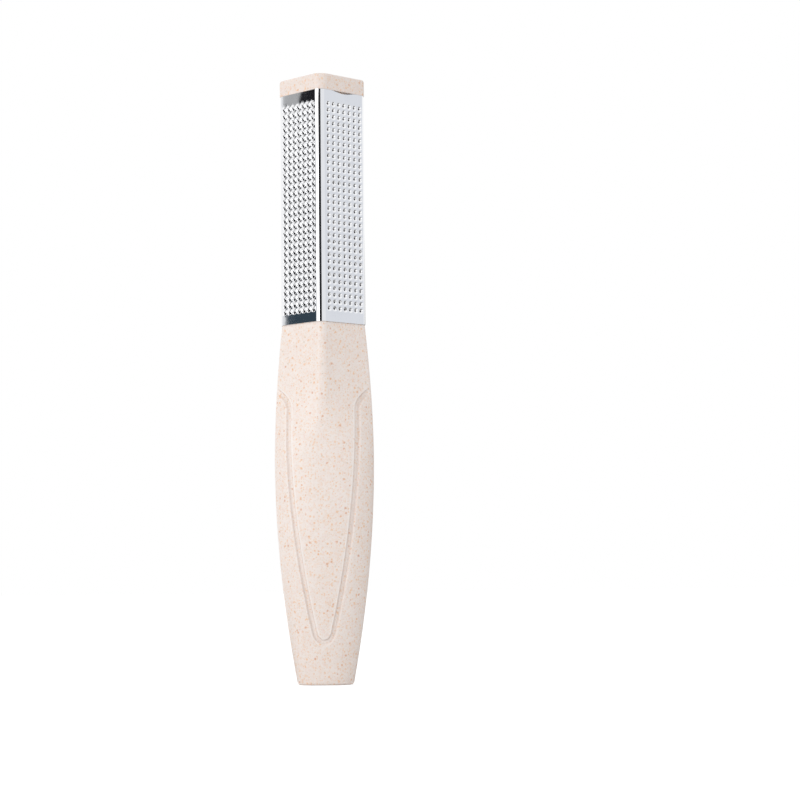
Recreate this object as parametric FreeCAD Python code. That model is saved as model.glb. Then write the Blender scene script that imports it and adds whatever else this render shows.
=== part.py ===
import FreeCAD, Part
import math
import os

from FreeCAD import Vector

# A three-sided foot file, standing on its butt: +Z runs up the length, the steel ridge
# faces -Y, the abrasive strip faces +Y, and the coarse steel face lies towards -X.
# All sizes are in millimetres and all angles in degrees.

# Head: the steel-clad end, measured on the outside of the steel
head_length = 86.5
head_width = 31.2
ridge_rise = 13.4
ridge_radius = 3.0
side_bend_radius = 2.0
flange_depth = 3.4
flange_taper = 8.0
sheet_thickness = 0.45

# Teeth: raised cones on the coarse face, inward funnels on the fine face
tooth_pitch = 2.465
tooth_ridge_margin = 1.38
tooth_side_margin = 0.9
tooth_cap_margin = 5.3
tooth_handle_margin = 4.7
coarse_base_radius = 1.0
coarse_rim_radius = 0.5
coarse_height = 0.65
coarse_hole_radius = 0.32
fine_mouth_radius = 0.62
fine_hole_radius = 0.34

# Core: the moulded carrier that the steel wraps
fit_gap = 0.15
core_wall = 2.0
core_floor = 6.0
fin_stand = 0.3
rail_groove_width = 1.0
rail_groove_depth = 1.2
platform_margin = 0.65
platform_height = 0.6
platform_slope = 0.5
tang_length = 42.0
tang_width = 10.0
tang_front = 5.5

# Abrasive strip and the tape under it
strip_side_margin = 5.95
strip_thickness = 0.5
strip_end_gap = 0.15
strip_tilt = 0.4
tape_thickness = 0.1
tape_margin = 0.2

# End cap
cap_height = 6.1
cap_overhang = 0.3
cap_back_stand = 0.2
cap_edge_radius = 0.8
cap_roof = 2.0
plug_length = 9.0
plug_wall = 1.6

# Handle: widths across X, depths to the front and the back of the side seam
handle_length = 132.5
belly_drop = 50.0
neck_setback = 0.3
belly_width = 36.6
butt_width = 20.4
belly_front = 12.4
butt_front = 6.4
neck_back_stand = 0.3
belly_back = 5.6
butt_back = 4.6
upper_curve = 1.84
lower_curve = 1.94
butt_edge_radius = 1.5
handle_wall = 2.2
back_wall = 3.0
end_wall = 4.0

# Handle sections: the head's V holds below the neck, then fades into an oval; the powers round their outlines
ridge_hold = 16.0
ridge_fade = 32.0
oval_power = 2.1
back_power = 4.0

# Grooves that outline the front and the back tongue of the handle
groove_width = 2.0
groove_depth = 0.7
groove_end_wall = 0.15
groove_start = 26.2
groove_lead = 8.5
groove_lead_power = 2.0
front_shoulder_margin = 5.25
front_margin_power = 1.35
front_tip_half = 3.4
front_tip_to_butt = 15.5
front_tip_length = 3.2
front_tip_power = 2.0
back_shoulder_margin = 5.8
back_margin_power = 1.0
back_tip_half = 5.8
back_tip_to_butt = 11.8
back_tip_length = 1.8
back_tip_power = 2.6

# Thumb scoop in the back of the handle
scoop_start = 8.0
scoop_deepest = 62.0
scoop_depth = 1.5
scoop_start_depth = 0.08
scoop_end_depth = 0.25
scoop_rim = 1.7
scoop_end_gap = 1.2

# Pegs that join the two handle shells, the upper one through the core's tang
peg_boss_radius = 2.4
peg_radius = 1.2
peg_length = 4.0
upper_peg_drop = 24.0
lower_peg_drop = 96.0

# Smoothness of the handle's lofts and of the grooves' edges
section_steps = 24
loft_steps = 20
butt_steps = 4
scoop_steps = 8
groove_lead_steps = 3
groove_run_steps = 5
groove_tip_steps = 4
heading_share = 0.01

# Rounding slack when whole teeth are counted along a length
count_slack = 1e-6

# Heights along the length
junction_z = handle_length
head_top_z = junction_z + head_length
cap_top_z = head_top_z + cap_height

# Widths and depths that follow the head
strip_width = head_width - 2 * strip_side_margin
platform_width = strip_width + 2 * platform_margin
neck_width = head_width - 2 * neck_setback
neck_front = ridge_rise - neck_setback

# Depths behind the widest line of the head
rail_y = flange_depth - fin_stand
rail_groove_y = rail_y - rail_groove_depth
platform_y = rail_y + platform_height
strip_y = platform_y + tape_thickness
strip_back_y = strip_y + strip_thickness
cap_back_y = strip_back_y + cap_back_stand
neck_back = strip_back_y + neck_back_stand


# Small helpers

def mirror_x(point):
    """The point on the other side of the middle plane."""
    return Vector(-point.x, point.y, point.z)


def line(start, end):
    """A straight edge."""
    return Part.LineSegment(start, end).toShape()


def arc(start, middle, end):
    """A circular edge through three points."""
    return Part.Arc(start, middle, end).toShape()


def prism(edges, bottom, top):
    """A closed outline in the XY plane, raised from one height to another."""
    face = Part.Face(Part.Wire(Part.__sortEdges__(edges)))
    face.translate(Vector(0, 0, bottom))
    return face.extrude(Vector(0, 0, top - bottom))


def polygon(points):
    """The edges of a closed polygon."""
    return [line(start, end) for start, end in zip(points, points[1:] + points[:1])]


def export(shape, node):
    """Write one piece to its own file."""
    shape.exportStep("parts/" + node + ".step")


# The head's section: a ridge bend, two flat faces, two side bends and two flanges

ridge_centre = Vector(0, ridge_radius - ridge_rise, 0)
side_centre = Vector(head_width / 2 - side_bend_radius, 0, 0)
centre_line = side_centre - ridge_centre
face_length = math.sqrt(centre_line.Length ** 2 - (ridge_radius - side_bend_radius) ** 2)
face_lean = math.asin((ridge_radius - side_bend_radius) / centre_line.Length)
face_normal_angle = math.atan2(centre_line.y, centre_line.x) - math.pi / 2 + face_lean
face_normal = Vector(math.cos(face_normal_angle), math.sin(face_normal_angle), 0)
flange_normal_angle = math.radians(flange_taper)


def on_bend(centre, radius, angle):
    """A point on a bend, where the outward normal has the given angle."""
    return centre + Vector(radius * math.cos(angle), radius * math.sin(angle), 0)


def v_edges(inset, side_angle):
    """The head's V, inset from the steel's outside, between the points of the side bends at an angle."""
    ridge_r = ridge_radius - inset
    side_r = side_bend_radius - inset
    side_end = on_bend(side_centre, side_r, side_angle)
    side_middle = on_bend(side_centre, side_r, (side_angle + face_normal_angle) / 2)
    face_low = on_bend(side_centre, side_r, face_normal_angle)
    face_high = on_bend(ridge_centre, ridge_r, face_normal_angle)
    ridge_top = on_bend(ridge_centre, ridge_r, -math.pi / 2)
    edges = [
        arc(side_end, side_middle, face_low),
        line(face_low, face_high),
        arc(face_high, ridge_top, mirror_x(face_high)),
        line(mirror_x(face_high), mirror_x(face_low)),
        arc(mirror_x(face_low), mirror_x(side_middle), mirror_x(side_end)),
    ]
    return edges, side_end


def head_edges(inset, back_y):
    """The V with its two flanges, and the back end of the right flange."""
    edges, side_end = v_edges(inset, flange_normal_angle)
    drop = back_y - side_end.y
    flange_end = side_end + Vector(-drop * math.tan(flange_normal_angle), drop, 0)
    flanges = [line(flange_end, side_end), line(mirror_x(side_end), mirror_x(flange_end))]
    return edges + flanges, flange_end


def bore_corners(inset):
    """The three corners of the core's bore, or of the plug that fits it with an inset."""
    outside = face_normal.dot(on_bend(ridge_centre, ridge_radius, face_normal_angle))
    level = outside - sheet_thickness - fit_gap - core_wall - inset
    base_y = rail_y - core_wall - inset
    apex = Vector(0, level / face_normal.y, 0)
    corner = Vector((level - face_normal.y * base_y) / face_normal.x, base_y, 0)
    return [apex, corner, mirror_x(corner)]


# What the core and the handle share: the tang and the pegs

peg_heights = [handle_length - upper_peg_drop, handle_length - lower_peg_drop]


def cross_cylinder(radius, from_y, to_y, height):
    """A cylinder along Y through the middle plane."""
    return Part.makeCylinder(radius, to_y - from_y, Vector(0, from_y, height), Vector(0, 1, 0))


def tang_back():
    """How far the tang reaches behind the side seam: just short of the back shell's inside."""
    return min(back_depth(0), back_depth(tang_length)) - back_wall - fit_gap


def tang_block(spare, length):
    """The tang, or with some spare all round its way through the handle's end."""
    return Part.makeBox(
        tang_width + 2 * spare,
        tang_front + tang_back() + 2 * spare,
        length,
        Vector(-tang_width / 2 - spare, -tang_front - spare, junction_z - length),
    )


# The steel sheet with its teeth

def tooth_places():
    """Distances down the slope from the ridge bend, and heights, at which teeth are punched."""
    column_span = face_length - tooth_ridge_margin - tooth_side_margin
    columns = int(column_span / tooth_pitch + count_slack) + 1
    row_span = head_length - tooth_cap_margin - tooth_handle_margin
    rows = int(row_span / tooth_pitch + count_slack) + 1
    first_row = head_top_z - tooth_cap_margin
    for column in range(columns):
        for row in range(rows):
            yield tooth_ridge_margin + column * tooth_pitch, first_row - row * tooth_pitch


def tooth_frame(side, distance, height):
    """The point on a steel face, and its outward normal; side is -1 for the coarse face."""
    start = on_bend(ridge_centre, ridge_radius, face_normal_angle)
    end = on_bend(side_centre, side_bend_radius, face_normal_angle)
    point = start + (end - start) * (distance / face_length)
    place = Vector(side * point.x, point.y, height)
    return place, Vector(side * face_normal.x, face_normal.y, 0)


def coarse_tooth(distance, height):
    """A raised cone rooted in the sheet, and the hole through it."""
    place, normal = tooth_frame(-1, distance, height)
    root_depth = sheet_thickness / 2
    root = Part.makeCylinder(coarse_base_radius, root_depth, place - normal * root_depth, normal)
    cone = Part.makeCone(coarse_base_radius, coarse_rim_radius, coarse_height, place, normal)
    through = 2 * (sheet_thickness + coarse_height)
    hole = Part.makeCylinder(coarse_hole_radius, through, place - normal * 2 * sheet_thickness, normal)
    return [root, cone], hole


def fine_funnel(distance, height):
    """A hole that narrows inwards, cut past both sides of the sheet."""
    place, normal = tooth_frame(1, distance, height)
    spare = sheet_thickness / 2
    widening = (fine_mouth_radius - fine_hole_radius) * spare / sheet_thickness
    return Part.makeCone(
        fine_hole_radius - widening,
        fine_mouth_radius + widening,
        sheet_thickness + 2 * spare,
        place - normal * (sheet_thickness + spare),
        normal,
    )


def make_rasp_plate():
    """One V-bent steel sheet: raised teeth on the coarse face, funnels on the fine face."""
    outer, outer_end = head_edges(0, flange_depth)
    inner, inner_end = head_edges(sheet_thickness, flange_depth)
    ends = [line(outer_end, inner_end), line(mirror_x(outer_end), mirror_x(inner_end))]
    sheet = prism(outer + inner + ends, junction_z, head_top_z)
    cones = []
    holes = []
    for distance, height in tooth_places():
        cone, hole = coarse_tooth(distance, height)
        cones += cone
        holes += [hole, fine_funnel(distance, height)]
    return sheet.fuse(cones).removeSplitter().cut(holes)


def make_blade_core():
    """The moulded carrier: V faces, back platform, bore for the cap and tang for the handle."""
    edges, shelf = head_edges(sheet_thickness + fit_gap, rail_groove_y)
    rail_x = shelf.x - rail_groove_width
    foot_x = platform_width / 2 + platform_slope
    half = [
        shelf,
        Vector(rail_x, rail_groove_y, 0),
        Vector(rail_x, rail_y, 0),
        Vector(foot_x, rail_y, 0),
        Vector(platform_width / 2, platform_y, 0),
    ]
    path = half + [mirror_x(point) for point in reversed(half)]
    back = [line(start, end) for start, end in zip(path, path[1:])]
    body = prism(edges + back, junction_z, head_top_z)
    bore = prism(polygon(bore_corners(0)), junction_z + core_floor, head_top_z)
    tang = tang_block(0, tang_length)
    peg_hole = cross_cylinder(peg_boss_radius + fit_gap, -tang_front, tang_back(), peg_heights[0])
    return body.cut(bore).fuse(tang).removeSplitter().cut(peg_hole)


def make_end_cap():
    """The V-shaped cap with a hollow plug that fits the core's bore."""
    edges, back_end = head_edges(-cap_overhang, cap_back_y)
    edges.append(line(back_end, mirror_x(back_end)))
    block = prism(edges, head_top_z, cap_top_z)
    middle_z = (head_top_z + cap_top_z) / 2
    top_edges = [edge for edge in block.Edges if edge.BoundBox.ZMin > middle_z]
    back_corners = [
        edge for edge in block.Edges
        if edge.BoundBox.ZLength > cap_height / 2 and edge.BoundBox.YMin > cap_back_y - cap_edge_radius
    ]
    block = block.makeFillet(cap_edge_radius, top_edges + back_corners)
    plug_end = head_top_z - plug_length
    plug = prism(polygon(bore_corners(fit_gap)), plug_end, head_top_z)
    pocket = prism(polygon(bore_corners(fit_gap + plug_wall)), plug_end, cap_top_z - cap_roof)
    return block.fuse(plug).removeSplitter().cut(pocket)


def make_strip(width, end_gap, near_y, thickness):
    """A flat strip on the core's platform, set a little crooked."""
    length = head_length - 2 * end_gap
    low = Vector(-width / 2, near_y, junction_z + end_gap)
    strip = Part.makeBox(width, thickness, length, low)
    strip.rotate(Vector(0, near_y, junction_z + head_length / 2), Vector(0, 1, 0), strip_tilt)
    return strip


# The handle's outer form, at a distance below the junction

def smooth_step(share):
    """A soft rise from 0 to 1."""
    share = min(1.0, max(0.0, share))
    return share * share * (3 - 2 * share)


def along(drop, neck, belly, butt):
    """A size that runs from the neck through the belly to the butt."""
    if drop < belly_drop:
        return belly - (belly - neck) * (1 - drop / belly_drop) ** upper_curve
    return belly - (belly - butt) * ((drop - belly_drop) / (handle_length - belly_drop)) ** lower_curve


def half_width(drop):
    """Half the handle's width."""
    return along(drop, neck_width, belly_width, butt_width) / 2


def front_depth(drop):
    """From the side seam to the front."""
    return along(drop, neck_front, belly_front, butt_front)


def back_depth(drop):
    """From the side seam to the back."""
    return along(drop, neck_back, belly_back, butt_back)


def round_outline(power):
    """A rounded outline of unit half width and depth, from one side to the other."""
    outline = []
    for step in range(section_steps + 1):
        angle = math.pi * step / section_steps
        across = abs(math.cos(angle)) ** (2 / power)
        deep = max(0.0, math.sin(angle)) ** (2 / power) if 0 < step < section_steps else 0.0
        outline.append((across if angle < math.pi / 2 else -across, deep))
    return outline


def neck_outline():
    """The head's V, drawn in by the setback and scaled to unit half width and depth."""
    wire = Part.Wire(v_edges(neck_setback, 0)[0])
    points = wire.discretize(section_steps + 1)
    return [(point.x / (neck_width / 2), -point.y / neck_front) for point in points]


def front_outline(drop):
    """The front outline of unit half width and depth: the neck's V, fading into the oval."""
    fade = smooth_step((drop - ridge_hold) / ridge_fade)
    outline = []
    for neck, oval in zip(neck_outline(), round_outline(oval_power)):
        across = neck[0] + (oval[0] - neck[0]) * fade
        deep = neck[1] + (oval[1] - neck[1]) * fade
        outline.append((across, deep))
    return outline


def section_curve(outline, width, depth, height):
    """A smooth curve through an outline that is stretched to a half width and a depth along Y."""
    points = [Vector(width * across, depth * deep, height) for across, deep in outline]
    curve = Part.BSplineCurve()
    curve.interpolate(
        Points=points,
        Parameters=[step / section_steps for step in range(section_steps + 1)],
    )
    return curve.toShape()


def handle_loft(stations, back_extra=0.0):
    """A loft through the handle's sections; a station is a distance below the junction and an inset."""
    wires = []
    for drop, inset in stations:
        width = half_width(drop) - inset
        height = handle_length - drop
        front = section_curve(front_outline(drop), width, inset - front_depth(drop), height)
        back_reach = back_depth(drop) - inset - back_extra
        back = section_curve(round_outline(back_power), width, back_reach, height)
        wires.append(Part.Wire([front, back]))
    return Part.makeLoft(wires, True, False)


def handle_stations(top, bottom, inset):
    """Evenly spaced stations with one inset."""
    return [(top + (bottom - top) * step / loft_steps, inset) for step in range(loft_steps + 1)]


def butt_stations():
    """The stations that round the butt's edge over a quarter circle."""
    stations = []
    for step in range(butt_steps + 1):
        angle = math.pi / 2 * step / butt_steps
        drop = handle_length - butt_edge_radius * (1 - math.sin(angle))
        stations.append((drop, butt_edge_radius * (1 - math.cos(angle))))
    return stations


# Grooves and scoop

groove_shoulder = groove_start + groove_lead


class Tongue:
    """The outline of a tongue on the handle's front or back, as a groove's centre line in X and Z."""

    def __init__(self, shoulder_margin, margin_power, tip_half, tip_to_butt, tip_length, tip_power):
        self.shoulder_margin = shoulder_margin
        self.margin_power = margin_power
        self.end_drop = handle_length - tip_to_butt
        self.tip_drop = self.end_drop - tip_length
        self.tip_margin = half_width(self.tip_drop) - tip_half
        self.tip_length = tip_length
        self.tip_power = tip_power

    def half(self, drop):
        """Half the tongue's width below the shoulder."""
        share = max(0.0, (drop - groove_shoulder) / (self.tip_drop - groove_shoulder))
        margin = self.shoulder_margin + (self.tip_margin - self.shoulder_margin) * share ** self.margin_power
        return half_width(drop) - margin

    def lead(self, share):
        """The groove's way in from just inside the handle's side to the shoulder."""
        drop = groove_start + groove_lead * share
        start_margin = groove_depth + groove_end_wall
        way_in = 1 - (1 - share) ** groove_lead_power
        margin = start_margin + (self.shoulder_margin - start_margin) * way_in
        return half_width(drop) - margin, drop

    def run(self, share):
        """The long side, from the shoulder to the tip."""
        drop = groove_shoulder + (self.tip_drop - groove_shoulder) * share
        return self.half(drop), drop

    def tip(self, share):
        """The rounded end."""
        angle = share * math.pi / 2
        drop = self.tip_drop + self.tip_length * math.sin(angle) ** (2 / self.tip_power)
        return self.half(drop) * max(0.0, math.cos(angle)) ** (2 / self.tip_power), drop

    def place(self, stretch, share):
        """A point of one stretch of the centre line, seen from the front."""
        across, drop = stretch(share)
        return Vector(across, 0, handle_length - drop)

    def edge_points(self, offset):
        """Points along one edge of the groove on the right side, from the handle's side to the tip."""
        start = self.place(self.lead, 0)
        heading = self.place(self.lead, heading_share) - start
        points = [start - Vector(0, 0, offset * heading.Length / abs(heading.x))]
        stretches = (
            (self.lead, groove_lead_steps),
            (self.run, groove_run_steps),
            (self.tip, groove_tip_steps),
        )
        for stretch, count in stretches:
            for step in range(count):
                share = (step + 1 / 2) / count
                before = self.place(stretch, share - heading_share)
                ahead = self.place(stretch, share + heading_share) - before
                ahead.normalize()
                points.append(self.place(stretch, share) + Vector(-ahead.z, 0, ahead.x) * offset)
        points.append(Vector(0, 0, handle_length - self.end_drop - offset))
        return points

    def edge(self, offset):
        """One edge of the groove, from the right side round the tip to the left side."""
        right = self.edge_points(offset)
        curve = Part.BSplineCurve()
        curve.interpolate(Points=right + [mirror_x(point) for point in reversed(right[:-1])])
        return curve.toShape()

    def cutter(self, towards):
        """The groove as a cutter that leaves the handle's form drawn in by the groove's depth."""
        outer = self.edge(groove_width / 2)
        inner = self.edge(-groove_width / 2)
        ends = [
            line(outer.firstVertex().Point, inner.firstVertex().Point),
            line(outer.lastVertex().Point, inner.lastVertex().Point),
        ]
        band = Part.Face(Part.Wire(Part.__sortEdges__([outer, inner] + ends)))
        reach = towards * (max(neck_front, belly_front, belly_back) + groove_width)
        floor = handle_loft(handle_stations(0, handle_length, groove_depth))
        return band.extrude(Vector(0, reach, 0)).cut(floor)


front_tongue = Tongue(
    front_shoulder_margin, front_margin_power, front_tip_half, front_tip_to_butt, front_tip_length, front_tip_power
)
back_tongue = Tongue(
    back_shoulder_margin, back_margin_power, back_tip_half, back_tip_to_butt, back_tip_length, back_tip_power
)


def make_scoop():
    """The thumb scoop's cutter: a trough that deepens below the neck and runs out at the tongue's end."""
    end = back_tongue.end_drop - groove_width / 2 - scoop_end_gap
    wires = []
    for step in range(scoop_steps + 1):
        drop = scoop_start + (end - scoop_start) * step / scoop_steps
        if drop < scoop_deepest:
            rise = smooth_step((drop - scoop_start) / (scoop_deepest - scoop_start))
            depth = scoop_start_depth + (scoop_depth - scoop_start_depth) * rise
        else:
            rise = smooth_step((end - drop) / (end - scoop_deepest))
            depth = scoop_end_depth + (scoop_depth - scoop_end_depth) * rise
        half = back_tongue.half(max(drop, groove_shoulder)) - groove_width / 2 - scoop_rim
        share = (half / half_width(drop)) ** back_power
        level = back_depth(drop) * (1 - share) ** (1 / back_power)
        height = handle_length - drop
        right = Vector(half, level, height)
        middle = Vector(0, level - depth, height)
        right_top = Vector(half, belly_back + groove_width, height)
        wires.append(Part.Wire([
            arc(right, middle, mirror_x(right)),
            line(mirror_x(right), mirror_x(right_top)),
            line(mirror_x(right_top), right_top),
            line(right_top, right),
        ]))
    return Part.makeLoft(wires, True, False)


# The two handle shells

def half_space(towards):
    """A block that holds everything in front of the side seam, or behind it."""
    reach = belly_width + neck_width
    low_y = -reach if towards < 0 else 0
    return Part.makeBox(2 * reach, reach, 2 * handle_length, Vector(-reach, low_y, -handle_length / 2))


def make_handle_shells():
    """The front and the back shell of the hollow handle."""
    form = handle_loft(handle_stations(0, handle_length - butt_edge_radius, 0))
    form = form.fuse(handle_loft(butt_stations()))
    form = form.cut([front_tongue.cutter(-1), back_tongue.cutter(1), make_scoop()])
    reach = belly_width
    bosses = [cross_cylinder(peg_boss_radius, -reach, reach, height) for height in peg_heights]
    hollow = handle_loft(
        handle_stations(end_wall, handle_length - end_wall, handle_wall), back_wall - handle_wall
    ).cut(bosses)
    void = hollow.fuse(tang_block(fit_gap, 2 * end_wall))
    front = form.common(half_space(-1)).cut(void)
    back = form.common(half_space(1)).cut(void)
    sockets = [
        cross_cylinder(peg_radius + fit_gap, -peg_length - fit_gap, 0, height) for height in peg_heights
    ]
    pegs = [cross_cylinder(peg_radius, -peg_length, 0, height) for height in peg_heights]
    return front.cut(sockets), back.fuse(pegs)


def write_parts():
    """Build every piece and write it to its own file."""
    os.makedirs("parts", exist_ok=True)
    front_shell, back_shell = make_handle_shells()
    export(front_shell, "handle_front_shell")
    export(back_shell, "handle_back_shell")
    export(make_blade_core(), "blade_core")
    export(make_rasp_plate(), "rasp_plate")
    tape_width = strip_width - 2 * tape_margin
    tape_end_gap = strip_end_gap + tape_margin
    export(make_strip(tape_width, tape_end_gap, platform_y, tape_thickness), "adhesive_tape")
    export(make_strip(strip_width, strip_end_gap, strip_y, strip_thickness), "abrasive_strip")
    export(make_end_cap(), "end_cap")


write_parts()
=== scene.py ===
import logging
import math
from dataclasses import dataclass, field, replace
from enum import Enum
from typing import Any, Mapping, Sequence, Union

import bmesh
import bpy
import numpy as np
from mathutils import Euler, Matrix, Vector, kdtree


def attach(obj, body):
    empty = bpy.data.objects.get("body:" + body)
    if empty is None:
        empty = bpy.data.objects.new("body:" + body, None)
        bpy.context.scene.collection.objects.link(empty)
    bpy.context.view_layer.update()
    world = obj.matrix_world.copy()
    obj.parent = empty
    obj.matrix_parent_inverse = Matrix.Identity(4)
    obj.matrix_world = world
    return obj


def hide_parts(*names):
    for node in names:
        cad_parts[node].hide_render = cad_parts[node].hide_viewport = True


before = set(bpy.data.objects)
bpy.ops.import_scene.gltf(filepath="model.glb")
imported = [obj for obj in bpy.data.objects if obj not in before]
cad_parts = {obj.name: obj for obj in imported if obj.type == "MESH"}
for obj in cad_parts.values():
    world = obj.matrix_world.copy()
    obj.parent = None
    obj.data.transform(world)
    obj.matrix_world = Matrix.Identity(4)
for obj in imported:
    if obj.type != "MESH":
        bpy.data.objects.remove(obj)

LOG = logging.getLogger("foot_file")

# One millimetre in the scene's metres
MM = 0.001

# Points nearer than this are merged, and edges shorter than this dissolved, in millimetres
MERGE = 0.0005
DEGENERATE = 0.0004

# A way past a bend's start, and a length that keeps a division safe
TINY = 1e-9
LEAST = 1e-12

# The distance of points that a groove does not reach
FAR = 99.0

# The pieces of a bend and of a rounded corner
BEND_STEPS = 10
CORNER_STEPS = 4

# Every piece of this rigid tool rides on the one body
BODY = "root"

# The mesh attribute that carries painted highlight (above 0) and painted shade (below 0) on the
# plastic
PAINTED_LIGHT = "tone_and_painted_light"

Array = np.ndarray
Numbers = Union[Array, float]
Pair = tuple[float, float]
Trio = tuple[float, float, float]
Colour = Trio
WHITE: Colour = (1.0, 1.0, 1.0)


class Side(Enum):
    """The two steel faces; the value is the sign of their X."""

    COARSE = -1
    FINE = 1


class Half(Enum):
    """The two handle shells; the value is the sign of their Y."""

    FRONT = -1
    BACK = 1


# Shader maths


class Value:
    """A socket inside a material; its operators add Math nodes."""

    def __init__(self, recipe: "Recipe", socket: bpy.types.NodeSocket) -> None:
        """Hold one output socket of a recipe."""
        self.recipe = recipe
        self.socket = socket

    def maths(self, operation: str, first: "Feed", second: "Feed") -> "Value":
        """The result of one Math node."""
        sockets = {0: first, 1: second}
        return self.recipe.node("ShaderNodeMath", {"operation": operation}, sockets)["Value"]

    def __add__(self, other: "Feed") -> "Value":
        """The sum."""
        return self.maths("ADD", self, other)

    def __radd__(self, other: "Feed") -> "Value":
        """The sum, from the right."""
        return self.maths("ADD", other, self)

    def __sub__(self, other: "Feed") -> "Value":
        """The difference."""
        return self.maths("SUBTRACT", self, other)

    def __rsub__(self, other: "Feed") -> "Value":
        """The difference, from the right."""
        return self.maths("SUBTRACT", other, self)

    def __mul__(self, other: "Feed") -> "Value":
        """The product."""
        return self.maths("MULTIPLY", self, other)

    def __rmul__(self, other: "Feed") -> "Value":
        """The product, from the right."""
        return self.maths("MULTIPLY", other, self)

    def __gt__(self, other: "Feed") -> "Value":
        """1 where this is the greater."""
        return self.maths("GREATER_THAN", self, other)

    def __lt__(self, other: "Feed") -> "Value":
        """1 where this is the smaller."""
        return self.maths("LESS_THAN", self, other)


Feed = Union[Value, float, Sequence[float]]


class Made:
    """A node that has been added, by whose outputs others are fed."""

    def __init__(self, recipe: "Recipe", node: bpy.types.Node) -> None:
        """Hold one node of a recipe."""
        self.recipe = recipe
        self.node = node

    def __getitem__(self, output: Union[str, int]) -> Value:
        """One of the node's outputs."""
        return Value(self.recipe, self.node.outputs[output])


@dataclass(frozen=True)
class Lumps:
    """Soft noise: its lumps' size in millimetres, its layers, and where it starts and is full."""

    size: float
    detail: float
    start: float
    full: float


class Recipe:
    """The nodes of one material or of the world."""

    def __init__(self, tree: bpy.types.NodeTree) -> None:
        """Start from an empty node tree."""
        self.tree = tree
        tree.nodes.clear()

    def node(
        self, kind: str, settings: Mapping[str, Any], sockets: Mapping[Union[str, int], Feed]
    ) -> Made:
        """Add one node.

        Args:
            kind: the node's type.
            settings: its own settings, set first.
            sockets: the values or links of its inputs.

        Returns:
            The node, ready to feed others.
        """
        made = self.tree.nodes.new(kind)
        for name, setting in settings.items():
            setattr(made, name, setting)
        for key, feed in sockets.items():
            socket = made.inputs[key]
            if isinstance(feed, Value):
                self.tree.links.new(feed.socket, socket)
            else:
                is_colour = isinstance(feed, tuple) and socket.type == "RGBA"
                socket.default_value = (*feed, 1.0) if is_colour else feed
        return Made(self, made)

    def place(self) -> Value:
        """The object's own coordinates, in metres."""
        return self.node("ShaderNodeTexCoord", {}, {})["Object"]

    def vectors(self, operation: str, first: Feed, second: Feed) -> Value:
        """One Vector Math node on two vectors."""
        sockets = {0: first, 1: second}
        return self.node("ShaderNodeVectorMath", {"operation": operation}, sockets)["Vector"]

    def noise(self, where: Value, size: float, detail: float, output: str = "Fac") -> Value:
        """Soft noise from 0 to 1, by the size of its lumps in millimetres and its finer layers."""
        sockets = {"Vector": where, "Scale": 1 / (size * MM), "Detail": detail}
        return self.node("ShaderNodeTexNoise", {}, sockets)[output]

    def between(
        self, value: Value, low: float, high: float, start: float = 0.0, end: float = 1.0
    ) -> Value:
        """A value's way from low to high as a soft, clamped rise from start to end."""
        settings = {"interpolation_type": "SMOOTHSTEP", "clamp": True}
        sockets = {
            "Value": value, "From Min": low, "From Max": high, "To Min": start, "To Max": end
        }
        return self.node("ShaderNodeMapRange", settings, sockets)["Result"]

    def lumps(self, where: Value, kind: Lumps, start: float = 0.0, end: float = 1.0) -> Value:
        """Soft noise as a clamped rise from start to end."""
        noise = self.noise(where, kind.size, kind.detail)
        return self.between(noise, kind.start, kind.full, start, end)

    def cells(self, where: Value, size: float) -> tuple[Value, Made]:
        """The distance from the middle of the nearest cell, and its random colour's parts.

        Args:
            where: the coordinates.
            size: the cells' size in millimetres.

        Returns:
            The distance in cells, and the node that holds Red, Green and Blue.
        """
        sockets = {"Vector": where, "Scale": 1 / (size * MM)}
        cells = self.node("ShaderNodeTexVoronoi", {"feature": "F1"}, sockets)
        parts = self.node("ShaderNodeSeparateColor", {}, {"Color": cells["Color"]})
        return cells["Distance"], parts

    def mix(self, share: Feed, first: Feed, second: Feed) -> Value:
        """Two colours mixed by a share of the second."""
        settings = {"data_type": "RGBA", "clamp_factor": True}
        return self.node("ShaderNodeMix", settings, {0: share, 6: first, 7: second})[2]

    def bump(self, height: Value, depth: float, strength: float) -> Value:
        """A normal from heights; depth is in millimetres."""
        sockets = {"Height": height, "Distance": depth * MM, "Strength": strength}
        return self.node("ShaderNodeBump", {}, sockets)["Normal"]

    def surface(self, shader: Value) -> None:
        """Send a shader to the output."""
        owner = "World" if isinstance(self.tree.id_data, bpy.types.World) else "Material"
        self.node(f"ShaderNodeOutput{owner}", {}, {"Surface": shader})

    def principled(self, sockets: Mapping[Union[str, int], Feed]) -> None:
        """Send a Principled shader to the output."""
        self.surface(self.node("ShaderNodeBsdfPrincipled", {}, sockets)["BSDF"])


def new_recipe(name: str) -> tuple[bpy.types.Material, Recipe]:
    """A new material and its empty recipe."""
    material = bpy.data.materials.new(name)
    material.use_nodes = True
    return material, Recipe(material.node_tree)


# Finishes


@dataclass(frozen=True)
class Specks:
    """A layer of specks: sizes in millimetres, the share of cells that hold one, and strength."""

    cell: float
    radius: float
    share: float
    strength: float
    faintest: float = 0.0


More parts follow.
